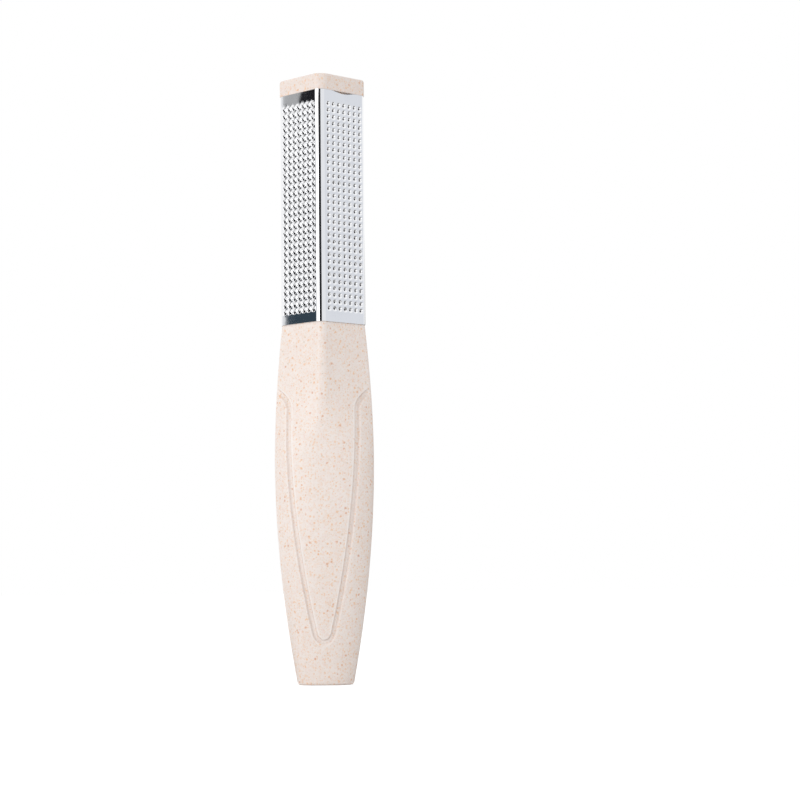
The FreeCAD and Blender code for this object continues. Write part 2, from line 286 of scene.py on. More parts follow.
@dataclass(frozen=True)
class SpeckledPlastic:
    """Satin moulded plastic, pale pinkish cream, with straw-coloured specks and short fibres."""

    name: str
    seed: float
    base: Colour = (0.862, 0.757, 0.70)
    pale: Colour = (0.892, 0.81, 0.765)
    straw: Colour = (0.85, 0.49, 0.235)
    rust: Colour = (0.70, 0.35, 0.20)
    olive: Colour = (0.58, 0.49, 0.36)
    pink: Colour = (0.82, 0.53, 0.47)
    # Painted highlight colour for edges and painted shade colour for groove feet, mixed in by the
    # painted-light attribute
    edge: Colour = (0.95, 0.9, 0.87)
    painted_shade: Colour = (0.70, 0.60, 0.55)
    tiny: Specks = Specks(0.62, 0.28, 0.65, 0.26)
    blot: Specks = Specks(1.3, 0.7, 0.6, 0.14)
    small: Specks = Specks(0.9, 0.36, 0.7, 0.6, 0.14)
    fibre: Specks = Specks(1.25, 0.2, 0.3, 0.5)
    large: Specks = Specks(1.6, 0.52, 0.5, 0.72, 0.4)
    dull: Specks = Specks(2.2, 0.46, 0.4, 0.4)
    core: float = 0.55
    fibre_turns: tuple[Trio, Trio] = ((0.3, 0.5, 0.0), (-0.6, -0.8, 0.4))
    fibre_stretch: Trio = (1.0, 1.0, 0.28)
    seed_step: Trio = (0.37, 0.11, 0.23)
    wobble_size: float = 0.8
    wobble_reach: float = 0.45
    cloud: Lumps = Lumps(5.0, 3.0, 0.35, 0.65)
    grain: Lumps = Lumps(0.9, 2.0, 0.3, 0.7)
    sheen: Lumps = Lumps(1.6, 3.0, 0.25, 0.75)
    texture_size: float = 0.35
    # How far the painted highlight and the painted shade are mixed in
    edge_highlight_strength: float = 0.6
    painted_shade_strength: float = 0.3
    roughness: float = 0.42
    ior: float = 1.49

    def specks(self, recipe: Recipe, where: Value, layer: Specks) -> tuple[Value, Value]:
        """Round specks in a random share of cells.

        Args:
            recipe: the material's recipe.
            where: the coordinates.
            layer: the specks' layer.

        Returns:
            The specks' mask and a random value per cell.
        """
        distance, parts = recipe.cells(where, layer.cell)
        reach = layer.radius / layer.cell
        disc = recipe.between(distance, reach * self.core, reach, 1.0, 0.0)
        return disc * (parts["Red"] < layer.share), parts["Green"]

    def fibres(self, recipe: Recipe, where: Value, turn: Trio) -> Value:
        """The mask of short fibres that run one way, by a rotation in radians."""
        sockets = {"Vector": where, "Rotation": turn, "Scale": self.fibre_stretch}
        stretched = recipe.node("ShaderNodeMapping", {"vector_type": "POINT"}, sockets)["Vector"]
        return self.specks(recipe, stretched, self.fibre)[0]

    def material(self) -> bpy.types.Material:
        """The finished material."""
        material, recipe = new_recipe(self.name)
        mix, between = recipe.mix, recipe.between
        offset = tuple(self.seed * step for step in self.seed_step)
        where = recipe.vectors("ADD", recipe.place(), offset)
        wobble = recipe.noise(where, self.wobble_size, 1.0, "Color")
        shift = recipe.vectors("SUBTRACT", wobble, (0.5, 0.5, 0.5))
        shift = recipe.vectors("MULTIPLY", shift, (self.wobble_reach * MM,) * 3)
        ragged = recipe.vectors("ADD", where, shift)
        cloud = recipe.lumps(where, self.cloud)
        grain = recipe.lumps(where, self.grain)
        colour = mix(cloud * 0.4 + grain * 0.6, self.base, self.pale)
        mask, hue = self.specks(recipe, ragged, self.tiny)
        colour = mix(mask * self.tiny.strength, colour, mix(hue, self.straw, self.olive))
        mask, hue = self.specks(recipe, ragged, self.blot)
        colour = mix(mask * self.blot.strength, colour, mix(hue > 0.6, self.straw, self.pink))
        small, hue = self.specks(recipe, ragged, self.small)
        strength = between(hue, 0.0, 1.0, self.small.faintest, self.small.strength)
        colour = mix(small * strength, colour, self.straw)
        first, second = (self.fibres(recipe, ragged, turn) for turn in self.fibre_turns)
        mask = between(first + second, 0.0, 1.0, 0.0, self.fibre.strength)
        colour = mix(mask, colour, self.straw)
        mask, hue = self.specks(recipe, ragged, self.large)
        tint = mix(between(hue, 0.55, 0.95), self.straw, self.rust)
        strength = between(hue, 0.0, 0.7, self.large.faintest, self.large.strength)
        colour = mix(mask * strength, colour, tint)
        mask, hue = self.specks(recipe, ragged, self.dull)
        colour = mix(mask * self.dull.strength, colour, mix(hue > 0.5, self.olive, self.pink))
        # Painted highlight where the attribute is above 0, painted shade where it is below 0
        tone_and_painted_light = recipe.node("ShaderNodeAttribute", {"attribute_name": PAINTED_LIGHT}, {})["Fac"]
        colour = mix(between(tone_and_painted_light, 0.0, 1.0, 0.0, self.edge_highlight_strength), colour, self.edge)
        colour = mix(between(tone_and_painted_light, -1.0, 0.0, self.painted_shade_strength, 0.0), colour, self.painted_shade)
        texture = recipe.noise(where, self.texture_size, 3.0) + small * 0.15
        smooth, rough = self.roughness - 0.06, self.roughness + 0.08
        recipe.principled({
            "Base Color": colour,
            "Roughness": recipe.lumps(where, self.sheen, smooth, rough),
            "IOR": self.ior,
            "Normal": recipe.bump(texture, 0.03, 0.35),
        })
        return material


@dataclass(frozen=True)
class PolishedSteel:
    """Mirror-bright stainless sheet with faint rolling lines and handling marks."""

    name: str
    base: Colour = (0.92, 0.925, 0.94)
    dull: Colour = (0.87, 0.878, 0.90)
    roughness: float = 0.018
    rolling: Trio = (1.0, 1.0, 0.03)
    lines: Lumps = Lumps(0.35, 3.0, 0.3, 0.7)
    smudge: Lumps = Lumps(9.0, 4.0, 0.42, 0.68)
    wave_size: float = 9.0
    scratch_size: float = 0.3

    def material(self) -> bpy.types.Material:
        """The finished material."""
        material, recipe = new_recipe(self.name)
        where = recipe.place()
        stretched = recipe.vectors("MULTIPLY", where, self.rolling)
        lines = recipe.lumps(stretched, self.lines)
        smudge = recipe.lumps(where, self.smudge)
        scratches = recipe.noise(stretched, self.scratch_size, 2.0) * 0.012
        waves = recipe.noise(where, self.wave_size, 1.0) + scratches
        recipe.principled({
            "Base Color": recipe.mix(smudge * 0.5 + lines * 0.25, self.base, self.dull),
            "Metallic": 1.0,
            "Roughness": lines * 0.012 + smudge * 0.02 + self.roughness,
            "Normal": recipe.bump(waves, 0.012, 0.5),
        })
        return material


@dataclass(frozen=True)
class GritPaper:
    """Black coated abrasive: dark resin with fine grains, a few of which glint."""

    name: str
    resin: Colour = (0.005, 0.005, 0.006)
    grain: Colour = (0.024, 0.024, 0.026)
    glint: Colour = (0.11, 0.11, 0.11)
    cell: float = 0.36
    tone_and_painted_light: Lumps = Lumps(14.0, 4.0, 0.35, 0.7)

    def material(self) -> bpy.types.Material:
        """The finished material."""
        material, recipe = new_recipe(self.name)
        where = recipe.place()
        distance, parts = recipe.cells(where, self.cell)
        body = recipe.between(distance, 0.2, 0.6, 1.0, 0.0)
        spark = body * recipe.between(parts["Red"], 0.35, 1.0)
        tone_and_painted_light = recipe.lumps(where, self.tone_and_painted_light)
        colour = recipe.mix(body * (tone_and_painted_light * 0.5 + 0.4), self.resin, self.grain)
        recipe.principled({
            "Base Color": recipe.mix(spark, colour, self.glint),
            "Roughness": 0.75 - parts["Green"] * 0.3,
            "Normal": recipe.bump(body * (parts["Blue"] + 0.4), 0.09, 0.8),
        })
        return material


@dataclass(frozen=True)
class TapeFilm:
    """Thin double-sided film in a dull straw tone, with faint streaks."""

    name: str
    base: Colour = (0.7, 0.66, 0.6)
    streak: Colour = (0.6, 0.55, 0.48)
    stretch: Trio = (1.0, 1.0, 0.05)
    lines: Lumps = Lumps(0.8, 3.0, 0.3, 0.7)

    def material(self) -> bpy.types.Material:
        """The finished material."""
        material, recipe = new_recipe(self.name)
        lines = recipe.lumps(recipe.vectors("MULTIPLY", recipe.place(), self.stretch), self.lines)
        recipe.principled({
            "Base Color": recipe.mix(lines, self.base, self.streak),
            "Roughness": 0.4 + lines * 0.15,
        })
        return material


# Mesh work


class Skin:
    """The points and faces of one piece while it is made, in millimetres."""

    def __init__(self) -> None:
        """Start empty."""
        self.points: list[Array] = []
        self.tone_and_painted_light: list[Array] = []
        self.faces: list[list[int]] = []
        self.count = 0

    def add(self, points: Array, tone_and_painted_light: Numbers = 0.0) -> Array:
        """Add points.

        Args:
            points: any array of points whose last axis is X, Y, Z.
            tone_and_painted_light: the painted highlight (above 0) and painted shade (below 0) at
                each point.

        Returns:
            The points' numbers, in the array's shape.
        """
        shape = points.shape[:-1]
        flat = points.reshape(-1, 3)
        numbers = np.arange(self.count, self.count + len(flat)).reshape(shape)
        self.points.append(flat)
        self.tone_and_painted_light.append(np.broadcast_to(tone_and_painted_light, shape).ravel())
        self.count += len(flat)
        return numbers

    def weave(self, numbers: Array, flip: bool = False, closed: bool = False) -> None:
        """Fill a grid of points with quads.

        Args:
            numbers: the point numbers in rows and columns; more axes in front hold many grids.
            flip: turn the quads over.
            closed: join the last column to the first.
        """
        if closed:
            numbers = np.concatenate([numbers, numbers[..., :1]], axis=-1)
        upper, lower = numbers[..., :-1, :], numbers[..., 1:, :]
        corners = [upper[..., :-1], upper[..., 1:], lower[..., 1:], lower[..., :-1]]
        if flip:
            corners.reverse()
        self.faces.extend(np.stack(corners, axis=-1).reshape(-1, 4).tolist())

    def grid(self, points: Array, flip: bool = False) -> Array:
        """Add a grid of points and fill it; returns the points' numbers."""
        numbers = self.add(points)
        self.weave(numbers, flip)
        return numbers

    def cover(self, numbers: Sequence[int], flip: bool = False) -> None:
        """Close a flat loop of points with one face."""
        loop = [int(number) for number in numbers]
        self.faces.append(loop[::-1] if flip else loop)

    def solid(self, rings: Sequence[Array], tone_and_painted_light: Numbers = 0.0, top: bool = True) -> None:
        """Join rings of points.

        Args:
            rings: the rings, from the lowest to the highest.
            tone_and_painted_light: the painted highlight (above 0) and painted shade (below 0) at
                each point.
            top: close the upper end as well as the lower.
        """
        numbers = self.add(np.array(rings), tone_and_painted_light)
        self.weave(numbers, closed=True)
        self.cover(numbers[0], flip=True)
        if top:
            self.cover(numbers[-1])

    def piece(self, name: str, material: bpy.types.Material, sharp: float) -> bpy.types.Object:
        """Make the object.

        Args:
            name: the piece's name.
            material: its finish.
            sharp: the angle in degrees above which an edge stays crisp.

        Returns:
            The object, linked to the scene, in metres.
        """
        mesh = bpy.data.meshes.new(name)
        mesh.from_pydata((np.concatenate(self.points) * MM).tolist(), [], self.faces)
        tone_and_painted_light = mesh.attributes.new(PAINTED_LIGHT, "FLOAT", "POINT")
        tone_and_painted_light.data.foreach_set("value", np.concatenate(self.tone_and_painted_light).astype(np.float32))
        work = bmesh.new()
        work.from_mesh(mesh)
        bmesh.ops.remove_doubles(work, verts=work.verts, dist=MERGE * MM)
        bmesh.ops.dissolve_degenerate(work, edges=work.edges, dist=DEGENERATE * MM)
        work.to_mesh(mesh)
        work.free()
        mesh.shade_smooth()
        mesh.set_sharp_from_angle(angle=math.radians(sharp))
        mesh.materials.append(material)
        piece = bpy.data.objects.new(name, mesh)
        bpy.context.scene.collection.objects.link(piece)
        return piece


def install(piece: bpy.types.Object, node: str) -> None:
    """Let a piece ride on the body and stand for a node.

    Args:
        piece: the new piece.
        node: the node that it stands for.
    """
    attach(piece, BODY)
    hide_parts(node)
    LOG.info("%s: %d faces for %s", piece.name, len(piece.data.polygons), node)


def soft_step(share: Array) -> Array:
    """A soft rise from 0 to 1 as the share does."""
    share = np.clip(share, 0.0, 1.0)
    return share * share * (3 - 2 * share)


def mound(values: Array, middle: float, width: float) -> Array:
    """A soft mound of height 1 round a middle value."""
    return np.exp(-(((values - middle) / width) ** 2))


def raised(outline: Array, height: float) -> Array:
    """A flat outline in X and Y, put at a height."""
    return np.column_stack([outline, np.full(len(outline), height)])


def turned(first: Array, corner: Array, last: Array, steps: int) -> list[Array]:
    """Points of a soft turn from one point to another, pulled towards a corner."""
    shares = [step / steps for step in range(steps + 1)]
    return [(1 - s) ** 2 * first + 2 * s * (1 - s) * corner + s ** 2 * last for s in shares]


def rounded(corners: Sequence[Sequence[float]], radius: float) -> Array:
    """A closed polygon with rounded corners.

    Args:
        corners: the polygon's corners in X and Y.
        radius: how far from a corner its rounding starts, at most.

    Returns:
        The outline's points.
    """
    points = []
    loop = np.array(corners, float)
    for number, corner in enumerate(loop):
        before = loop[number - 1] - corner
        after = loop[(number + 1) % len(loop)] - corner
        back, ahead = np.linalg.norm(before), np.linalg.norm(after)
        reach = min(radius, back * 0.45, ahead * 0.45)
        first, last = corner + before / back * reach, corner + after / ahead * reach
        points += turned(first, corner, last, CORNER_STEPS)
    return np.array(points)


def edge_round(end: float, radius: float, steps: int) -> list[Pair]:
    """Places up to an end, with the inset at each, that round an edge over."""
    angles = [math.pi / 2 * step / steps for step in range(steps + 1)]
    return [(end - radius * (1 - math.sin(a)), radius * (1 - math.cos(a))) for a in angles]


def mirrored_loop(right: Array) -> Array:
    """A closed outline from its right half, which starts in the middle plane."""
    left = right[:0:-1] * np.array([-1.0, 1.0])
    return np.vstack([right, left])


@dataclass(frozen=True)
class HeadSection:
    """The head's section outside the steel: ridge bend, two flats, two side bends, two flanges."""

    width: float = 31.2
    ridge_rise: float = 13.4
    ridge_radius: float = 3.0
    side_radius: float = 2.0
    flange_depth: float = 3.4
    flange_taper: float = 8.0
    bottom: float = 132.5
    top: float = 219.0

    @property
    def ridge_centre(self) -> Array:
        """The middle of the ridge bend."""
        return np.array([0.0, self.ridge_radius - self.ridge_rise])

    @property
    def side_centre(self) -> Array:
        """The middle of the right side bend."""
        return np.array([self.width / 2 - self.side_radius, 0.0])

    @property
    def face_length(self) -> float:
        """The flat's length down the slope."""
        apart = np.linalg.norm(self.side_centre - self.ridge_centre)
        return math.sqrt(apart ** 2 - (self.ridge_radius - self.side_radius) ** 2)

    @property
    def face_angle(self) -> float:
        """How far the right face's normal turns from the front."""
        span = self.side_centre - self.ridge_centre
        lean = math.asin((self.ridge_radius - self.side_radius) / np.linalg.norm(span))
        return math.atan2(span[1], span[0]) + lean

    @property
    def end_angle(self) -> float:
        """How far the flange's normal turns from the front."""
        return math.pi / 2 + math.radians(self.flange_taper)

    @property
    def face_start(self) -> float:
        """The way from the ridge's middle to the start of the flat."""
        return self.ridge_radius * self.face_angle

    @property
    def face_end(self) -> float:
        """The way from the ridge's middle to the end of the flat."""
        return self.face_start + self.face_length

    @property
    def flange_start(self) -> float:
        """The way from the ridge's middle to the start of the flange."""
        return self.face_end + self.side_radius * (self.end_angle - self.face_angle)

    @property
    def half_length(self) -> float:
        """The way from the ridge's middle to the flange's edge."""
        start_y = -self.side_radius * math.cos(self.end_angle)
        return self.flange_start + (self.flange_depth - start_y) / math.sin(self.end_angle)

    def place(self, distance: Numbers, height: Numbers, stand: Numbers) -> Array:
        """Points on or off the steel's outside.

        Args:
            distance: the way from the ridge's middle round the section; the sign is that of X.
            height: Z.
            stand: how far the point stands off the surface.

        Returns:
            The points in X, Y and Z.
        """
        way = np.abs(distance)
        bend = way / self.ridge_radius
        side = self.face_angle + (way - self.face_end) / self.side_radius
        zones = [way < self.face_start, way < self.face_end, way < self.flange_start]
        angle = np.select(zones, [bend, self.face_angle, side], self.end_angle)
        ridge_x, ridge_y = self.ridge_centre
        side_x, side_y = self.side_centre
        run = np.select(zones, [0.0, way - self.face_start, 0.0], way - self.flange_start)
        near = way < self.face_end
        radius = np.where(near, self.ridge_radius, self.side_radius) + stand
        across = np.where(near, ridge_x, side_x) + radius * np.sin(angle) + run * np.cos(angle)
        deep = np.where(near, ridge_y, side_y) - radius * np.cos(angle) + run * np.sin(angle)
        return np.stack(np.broadcast_arrays(np.sign(distance) * across, deep, height), axis=-1)

    def half_outline(self, stand: float, back_y: float) -> Array:
        """The right half of an outline off the steel, from the ridge's middle to the back.

        Args:
            stand: how far the outline stands off the steel.
            back_y: where it ends at the back.

        Returns:
            The points in X and Y.
        """
        ways = np.concatenate([
            np.linspace(0, self.face_start, BEND_STEPS + 1),
            np.linspace(self.face_end, self.flange_start, BEND_STEPS + 1),
        ])
        points = self.place(ways + TINY, 0.0, stand)[:, :2]
        last = points[-1]
        end = last + (back_y - last[1]) * np.array([1 / math.tan(self.end_angle), 1.0])
        return np.vstack([points, end])


# Sub-assemblies


@dataclass
class RaspPlate:
    """The V-bent steel sheet: raised, torn teeth on one face and punched funnels on the other."""

    section: HeadSection
    pitch: float = 2.465
    columns: int = 7
    rows: int = 32
    ridge_margin: float = 1.38
    cap_margin: float = 5.3
    thickness: float = 0.45
    edge: float = 0.06
    edge_draw: float = 0.05
    dent_depth: float = 0.8
    dent_middle: float = 10.6
    dent_half: float = 6.4
    lean: Pair = (-0.4, -0.16)
    lean_start: float = 1.2
    lean_width: float = 0.9
    angles: int = 24
    ring_limit: float = 1.15
    seed: int = 11
    height_spread: Pair = (-0.07, 0.05)
    height_reach: float = 0.9
    tear_width: float = 0.07
    tear_spread: Pair = (0.01, 0.04)
    drift: float = 0.05
    drift_reach: float = 0.75
    coarse_rim: float = 0.32
    fine_rim: float = 0.58
    coarse_profile: tuple[Pair, ...] = (
        (1.26, 0.0), (1.232, 0.006), (1.12, 0.044), (1.0, 0.094), (0.88, 0.158), (0.76, 0.238),
        (0.64, 0.328), (0.54, 0.413), (0.46, 0.488), (0.40, 0.548), (0.35, 0.585), (0.31, 0.59),
        (0.28, 0.555), (0.26, 0.4), (0.25, -0.45),
    )
    fine_profile: tuple[Pair, ...] = (
        (1.2, 0.0), (1.1, -0.006), (1.0, -0.022), (0.9, -0.06), (0.8, -0.122), (0.7, -0.198),
        (0.6, -0.274), (0.5, -0.34), (0.42, -0.385), (0.36, -0.43), (0.32, -0.5), (0.3, -0.62),
        (0.29, -0.8),
    )
    ridge_columns: int = 40
    bend_columns: int = 13
    flange_columns: int = 5
    long_rows: int = 24
    short_rows: int = 5

    @property
    def tile_start(self) -> float:
        """The way from the ridge's middle to the start of the punched field."""
        return self.section.face_start + self.ridge_margin - self.pitch / 2

    @property
    def tile_end(self) -> float:
        """The way from the ridge's middle to the end of the punched field."""
        return self.tile_start + self.columns * self.pitch

    @property
    def tile_top(self) -> float:
        """The punched field's upper end."""
        return self.section.top - self.cap_margin + self.pitch / 2

    @property
    def tile_bottom(self) -> float:
        """The punched field's lower end."""
        return self.tile_top - self.rows * self.pitch

    def top_edge(self, distance: Array) -> Array:
        """The sheet's upper edge, with the shallow dip under the cap on the fine side."""
        share = np.clip(np.abs(distance - self.dent_middle) / self.dent_half, 0.0, 1.0)
        return self.section.top - self.dent_depth * soft_step(1 - share)

    def teeth(self, skin: Skin, side: Side) -> None:
        """Punch one face's teeth, one tile each.

        Args:
            skin: the plate's skin.
            side: the face.
        """
        coarse = side is Side.COARSE
        chance = np.random.default_rng(self.seed + side.value)
        profile = np.array(self.coarse_profile if coarse else self.fine_profile)
        turn = np.arange(self.angles) * 2 * math.pi / self.angles
        square = self.pitch / 2 / np.maximum(np.abs(np.cos(turn)), np.abs(np.sin(turn)))
        column, row = np.meshgrid(np.arange(self.columns), np.arange(self.rows), indexing="ij")
        middle = self.tile_start + (column.ravel() + 0.5) * self.pitch
        height = self.tile_top - (row.ravel() + 0.5) * self.pitch
        each = (len(middle), 1, 1)
        inner = profile[profile[:, 0] < self.ring_limit, :1]
        shares = np.linspace(1, 0, CORNER_STEPS, endpoint=False)
        corners = inner[0] + (square - inner[0]) * shares[:, None]
        radius = np.vstack([corners, np.repeat(inner, self.angles, axis=1)])
        stand = np.interp(radius, profile[::-1, 0], profile[::-1, 1])
        taller = chance.uniform(*self.height_spread, each)
        stand = stand * (1 + taller * np.exp(-((radius / self.height_reach) ** 6)))
        phase = chance.uniform(0, 2 * math.pi, each)
        lobes = np.cos(4 * turn + phase) + 0.6 * np.cos(3 * turn + 2.1 * phase)
        rim = mound(radius, self.coarse_rim if coarse else self.fine_rim, self.tear_width)
        torn = rim * chance.uniform(*self.tear_spread, each) * lobes
        radius = radius + torn * 0.5
        drift = chance.uniform(-self.drift, self.drift, (len(middle), 2, 1, 1))
        pull = np.exp(-((radius / self.drift_reach) ** 4))
        across = middle[:, None, None] + radius * np.cos(turn) + drift[:, 0] * pull
        up = height[:, None, None] + radius * np.sin(turn) + drift[:, 1] * pull
        if coarse:
            stand = stand + torn
            tipped = np.clip((self.lean_start - radius) / self.lean_width, 0.0, 1.0)
            across = across + self.lean[0] * tipped
            up = up + self.lean[1] * tipped
        points = self.section.place(side.value * across, up, stand)
        skin.weave(skin.add(points), flip=coarse, closed=True)

    def strip(
        self, skin: Skin, ways: Array, low: float, high: Numbers, rows: int, stand: float = 0.0
    ) -> None:
        """A plain stretch of sheet.

        Args:
            skin: the plate's skin.
            ways: the distances from the ridge's middle, in rising order.
            low: its lower edge.
            high: its upper edge at each distance.
            rows: its rows of faces.
            stand: how far it stands off the outside; below 0 it is turned inwards.
        """
        height = low + (high - low) * np.linspace(0, 1, rows + 1)[:, None]
        skin.grid(self.section.place(ways, height, stand), flip=stand < 0)

    def sheet(self, skin: Skin) -> None:
        """Everything outside the punched fields, with the cut edges."""
        reach, bottom = self.section.half_length, self.section.bottom
        flange = self.section.flange_start
        ridge = np.linspace(-self.tile_start, self.tile_start, self.ridge_columns + 1)
        self.strip(skin, ridge, bottom, self.top_edge(ridge), self.long_rows)
        bend = np.linspace(self.tile_end, flange, self.bend_columns + 1)
        outer = np.concatenate([bend, np.linspace(flange, reach, self.flange_columns + 1)[1:]])
        steps = np.tan(np.radians(np.arange(-45, 45, 360 / self.angles))) / 2 + 0.5
        tiles = np.arange(self.columns)[:, None] + steps
        field_ways = self.tile_start + self.pitch * np.append(tiles.ravel(), self.columns)
        for sign in (-1, 1):
            order = slice(None, None, sign)
            side_ways = (sign * outer)[order]
            for stand in (0.0, -self.thickness):
                self.strip(skin, side_ways, bottom, self.top_edge(side_ways), self.long_rows, stand)
            ways = (sign * field_ways)[order]
            self.strip(skin, ways, self.tile_top, self.top_edge(ways), self.short_rows)
            self.strip(skin, ways, bottom, self.tile_bottom, self.short_rows)
        whole = np.concatenate([-outer[::-1], -field_ways[::-1], ridge, field_ways, outer])
        stands = (0.0, -self.edge, -self.thickness + self.edge, -self.thickness)
        draws = (self.edge_draw, 0.0, 0.0, self.edge_draw)
        for end, inward in ((self.top_edge(whole), -1), (bottom, 1)):
            edge = [
                self.section.place(whole, end + inward * (draw - self.edge_draw), stand)
                for stand, draw in zip(stands, draws)
            ]
            skin.grid(np.array(edge), flip=inward > 0)
        height = np.linspace(bottom, self.section.top, self.long_rows + 1)
        for sign in (-1, 1):
            edge = [
                self.section.place(sign * (reach + self.edge_draw - draw), height, stand)
                for stand, draw in zip(stands, draws)
            ]
            skin.grid(np.array(edge), flip=sign > 0)

    def build(self, finish: PolishedSteel) -> None:
        """Make and install the plate."""
        skin = Skin()
        for side in Side:
            self.teeth(skin, side)
        self.sheet(skin)
        plate = skin.piece("punched_rasp_plate", finish.material(), 50)
        install(plate, "rasp_plate")


@dataclass
class BladeCore:
    """The moulded carrier behind the steel: rails, raised platform and the tang."""

    section: HeadSection
    gap: float = 0.6
    relief: float = 1.3
    relief_margins: Pair = (0.2, 0.6)
    shelf_y: float = 1.9
    rail_y: float = 3.1
    platform_y: float = 3.7
    groove_width: float = 1.0
    platform_half: float = 10.3
    slope: float = 0.5
    edge: float = 0.22
    levels: int = 12
    tang_length: float = 42.0
    tang_half: float = 5.0
    tang_front: float = 5.5
    tang_back: float = 1.45
    tang_edge: float = 0.6

    def outline(self) -> Array:
        """The section of the carrier, with the relief behind the punched fields."""
        half = self.section.half_outline(-self.gap, self.shelf_y)
        angle = self.section.face_angle
        inward = np.array([-math.sin(angle), math.cos(angle)]) * (self.relief - self.gap)
        ridge, side = half[:BEND_STEPS + 1], half[BEND_STEPS + 1:-1]
        down = (side[0] - ridge[-1]) / np.linalg.norm(side[0] - ridge[-1])
        start, full = (down * margin for margin in self.relief_margins)
        relief = np.array([
            ridge[-1] + start, ridge[-1] + full + inward, side[0] - full + inward, side[0] - start
        ])
        right = np.vstack([ridge, relief, side])
        shelf_x = half[-1][0]
        rail_x = shelf_x - self.groove_width
        back = [
            (0.0, self.platform_y),
            (self.platform_half - self.slope * 1.3, self.platform_y),
            (self.platform_half, self.platform_y),
            (self.platform_half + self.slope, self.rail_y),
            (self.platform_half + self.slope * 2.3, self.rail_y),
            (rail_x, self.rail_y),
            (rail_x, self.shelf_y),
            (shelf_x, self.shelf_y),
            (shelf_x - 1.0, self.shelf_y - 1.0),
        ]
        # The first and the last corner only close the polygon
        soft = rounded(back, self.edge)[CORNER_STEPS + 1:-(CORNER_STEPS + 1)]
        return mirrored_loop(np.vstack([right, soft[::-1]]))

    def build(self, finish: SpeckledPlastic) -> None:
        """Make and install the carrier."""
        skin = Skin()
        outline = self.outline()
        bottom = self.section.bottom
        heights = np.linspace(bottom, self.section.top, self.levels)
        # Painted highlight along the slope between the rail and the platform
        off_slope = np.abs(np.abs(outline[:, 0]) - self.platform_half - self.slope / 2)
        slope_highlight = (off_slope < self.slope * 0.9) & (outline[:, 1] > self.shelf_y)
        skin.solid([raised(outline, height) for height in heights], np.where(slope_highlight, 1.0, 0.0))
        left, right = -self.tang_half, self.tang_half
        front, back = -self.tang_front, self.tang_back
        corners = [(left, front), (right, front), (right, back), (left, back)]
        tang = rounded(corners, self.tang_edge)
        skin.solid([raised(tang, bottom - self.tang_length), raised(tang, bottom)], top=False)
        core = skin.piece("moulded_core", finish.material(), 40)
        install(core, "blade_core")


@dataclass
class EndCap:
    """The V-shaped cap with rounded edges, and the plug that goes into the carrier."""

    section: HeadSection
    height: float = 6.1
    overhang: float = 0.22
    back_y: float = 4.5
    edge: float = 0.8
    edge_steps: int = 7
    corner_steps: int = 5
    fold_softening: float = 1.8
    lower_edge: float = 0.14
    lower_step: float = 0.04
    wall_start: float = 0.6
    wall_levels: int = 6
    plug_length: float = 9.0
    plug_edge: float = 0.5
    plug: tuple[Pair, ...] = ((0.0, -9.46), (11.2, 0.95), (-11.2, 0.95))

    def outline(self, inset: float, height: float) -> Array:
        """The cap's outline at a height, drawn in by an inset."""
        back = self.back_y - inset
        softer = self.fold_softening * (height - self.section.top) / self.height
        drawn = softer * (1 / math.cos(self.section.face_angle) - 1)
        folded = replace(
            self.section,
            ridge_radius=self.section.ridge_radius + softer,
            ridge_rise=self.section.ridge_rise - drawn,
        )
        right = folded.half_outline(self.overhang - inset, back)
        radius = max(self.edge - inset, 0.0)
        corner = right[-1]
        first, last = corner + np.array([0.0, -radius]), corner + np.array([-radius, 0.0])
        rounding = turned(first, corner, last, self.corner_steps)
        return mirrored_loop(np.vstack([right[:-1], rounding, [(0.0, back)]]))

    def build(self, finish: SpeckledPlastic) -> None:
        """Make and install the cap."""
        skin = Skin()
        low = self.section.top
        top = low + self.height
        levels = [(low, self.lower_edge), (low + self.lower_step, self.lower_step)]
        levels.append((low + self.lower_edge, 0.0))
        wall = np.linspace(low + self.wall_start, top - self.edge, self.wall_levels)
        levels += [(height, 0.0) for height in wall]
        levels += edge_round(top, self.edge, self.edge_steps)[1:]
        skin.solid([raised(self.outline(inset, height), height) for height, inset in levels])
        plug = rounded(self.plug, self.plug_edge)
        skin.solid([raised(plug, low - self.plug_length), raised(plug, low)], top=False)
        cap = skin.piece("capped_end", finish.material(), 40)
        install(cap, "end_cap")


